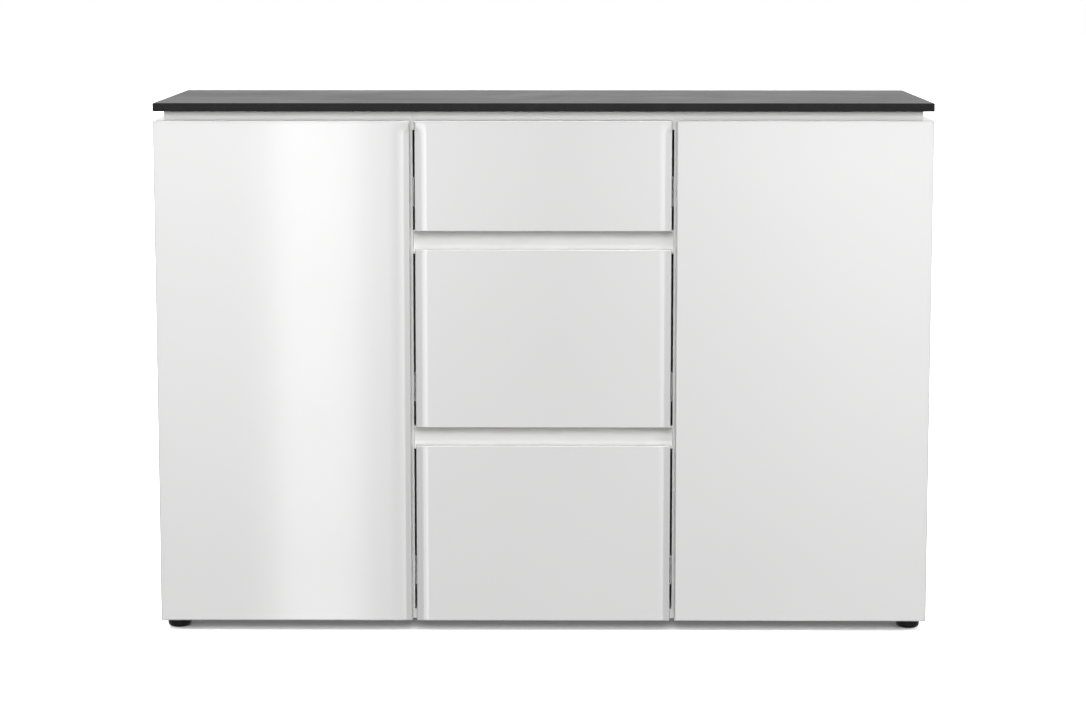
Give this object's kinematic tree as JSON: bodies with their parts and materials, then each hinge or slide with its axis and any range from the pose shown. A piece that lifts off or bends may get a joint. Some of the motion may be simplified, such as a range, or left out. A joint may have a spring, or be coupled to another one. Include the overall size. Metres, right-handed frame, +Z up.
{
  "type": "sideboard buffet",
  "caption": "Handleless sideboard with two hinged doors, a column of drawers on telescopic slides, shelves and a thin dark top floating over a shadow recess.",
  "frame": {"origin": "centre of the footprint on the floor", "axes": "+X to the right along the width, +Y to the back, +Z up; the fronts face -Y"},
  "size_m": [1.2, 0.4, 0.829],
  "materials": {
    "top": "charcoal stone-look laminate, satin",
    "fronts": "white high-gloss lacquer on board",
    "gloss_carcass": "white high-gloss face on board",
    "carcass": "white satin melamine on board",
    "backs": "white lacquered hardboard",
    "rail": "white coated",
    "steel": "zinc plated",
    "foot": "black moulded",
    "beech": "plain beech",
    "bumper": "clear soft discs"
  },
  "bodies": {
    "cabinet": {"top_slab": "top", "side_panel_left": "gloss_carcass", "side_panel_right": "gloss_carcass", "partition_left": "carcass", "partition_right": "carcass", "bottom_panel": "carcass", "subtop_left": "carcass", "subtop_center": "carcass", "subtop_right": "carcass", "spacer_front_left": "carcass", "spacer_front_center": "carcass", "spacer_front_right": "carcass", "spacer_side_left": "carcass", "spacer_side_right": "carcass", "spacers_rear": "carcass", "back_panel_left": "backs", "back_panel_center": "backs", "back_panel_right": "backs", "grip_rail_upper": "rail", "grip_rail_lower": "rail", "shelf_left_upper": "carcass", "shelf_left_lower": "carcass", "shelf_right_upper": "carcass", "shelf_right_lower": "carcass", "shelf_pins": "steel", "feet": "foot", "dowels": "beech", "bumpers": "bumper", "hinge_arms": "steel", "hinge_plates": "steel", "hinge_screws": "steel", "slide_cabinet_members": "steel"},
    "door_left": {"door_left": "fronts", "hinge_cups_left": "steel", "hinge_pins_left": "steel"},
    "door_right": {"door_right": "fronts", "hinge_cups_right": "steel", "hinge_pins_right": "steel"},
    "drawer_upper": {"front_upper": "fronts", "box_side_left_upper": "carcass", "box_side_right_upper": "carcass", "box_back_upper": "carcass", "box_bottom_upper": "carcass", "slide_inner_upper": "steel"},
    "drawer_middle": {"front_middle": "fronts", "box_side_left_middle": "carcass", "box_side_right_middle": "carcass", "box_back_middle": "carcass", "box_bottom_middle": "carcass", "slide_inner_middle": "steel"},
    "drawer_lower": {"front_lower": "fronts", "box_side_left_lower": "carcass", "box_side_right_lower": "carcass", "box_back_lower": "carcass", "box_bottom_lower": "carcass", "slide_inner_lower": "steel"},
    "slides_upper": {"slide_mid_upper": "steel"},
    "slides_middle": {"slide_mid_middle": "steel"},
    "slides_lower": {"slide_mid_lower": "steel"}
  },
  "joints": [
    {"name": "door_left_hinge", "type": "hinge", "parent": "cabinet", "child": "door_left", "pos_m": [-0.5925, -0.194, 0.4095], "axis": [0, 0, -1], "range_deg": [0, 95]},
    {"name": "door_right_hinge", "type": "hinge", "parent": "cabinet", "child": "door_right", "pos_m": [0.5925, -0.194, 0.4095], "axis": [0, 0, 1], "range_deg": [0, 95]},
    {"name": "drawer_upper_slide", "type": "slide", "parent": "cabinet", "child": "drawer_upper", "axis": [0, -1, 0], "range_m": [0, 0.33]},
    {"name": "slides_upper_slide", "type": "slide", "parent": "cabinet", "child": "slides_upper", "axis": [0, -1, 0], "range_m": [0, 0.165]},
    {"name": "drawer_middle_slide", "type": "slide", "parent": "cabinet", "child": "drawer_middle", "axis": [0, -1, 0], "range_m": [0, 0.33]},
    {"name": "slides_middle_slide", "type": "slide", "parent": "cabinet", "child": "slides_middle", "axis": [0, -1, 0], "range_m": [0, 0.165]},
    {"name": "drawer_lower_slide", "type": "slide", "parent": "cabinet", "child": "drawer_lower", "axis": [0, -1, 0], "range_m": [0, 0.33]},
    {"name": "slides_lower_slide", "type": "slide", "parent": "cabinet", "child": "slides_lower", "axis": [0, -1, 0], "range_m": [0, 0.165]}
  ],
  "couplings": [
    {"joint": "slides_upper_slide", "follows": "drawer_upper_slide", "ratio": 0.5},
    {"joint": "slides_middle_slide", "follows": "drawer_middle_slide", "ratio": 0.5},
    {"joint": "slides_lower_slide", "follows": "drawer_lower_slide", "ratio": 0.5}
  ]
}
